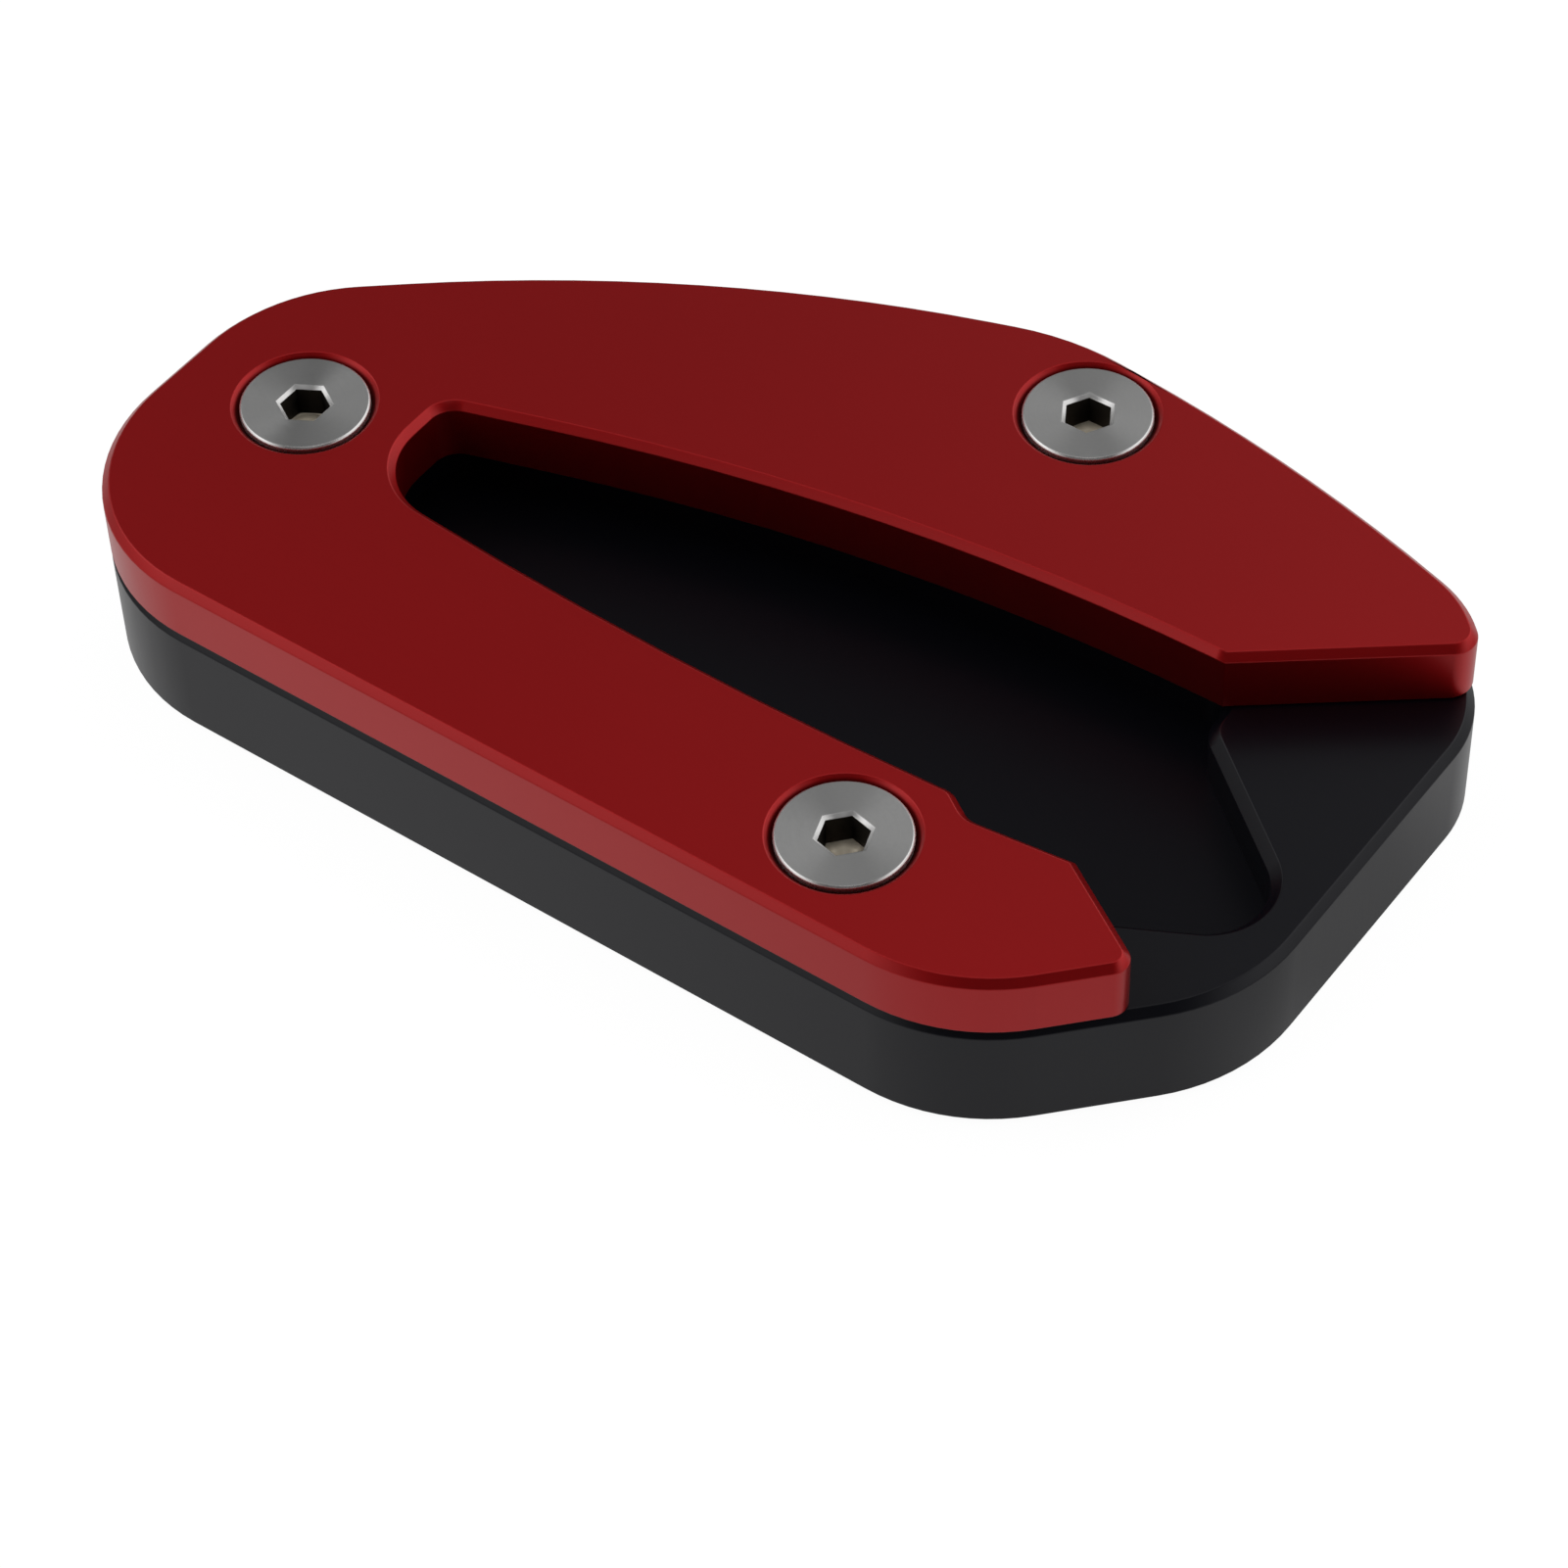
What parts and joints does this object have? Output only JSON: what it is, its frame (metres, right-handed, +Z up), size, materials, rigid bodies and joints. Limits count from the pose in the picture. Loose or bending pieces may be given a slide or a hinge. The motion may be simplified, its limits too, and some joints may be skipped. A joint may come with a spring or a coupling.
{
  "type": "motorbike kickstand foot enlarger",
  "caption": "Broad foot pad for a motorbike kickstand: a pocketed base plate and a fork-shaped clamp plate, held together by countersunk screws.",
  "frame": {"origin": "centre of the bounding box at the ground face of the base plate", "axes": "+X towards the toe, where the slot opens; +Y towards the long curved side; +Z up"},
  "size_m": [0.1182, 0.0715, 0.0184],
  "materials": {
    "black_anodised": "satin black anodised",
    "red_anodised": "satin red anodised",
    "stainless": "turned stainless steel"
  },
  "bodies": {
    "root": {"base_plate": "black_anodised", "clamp_plate": "red_anodised", "heel_screw": "stainless", "far_screw": "stainless", "near_screw": "stainless"}
  },
  "joints": []
}
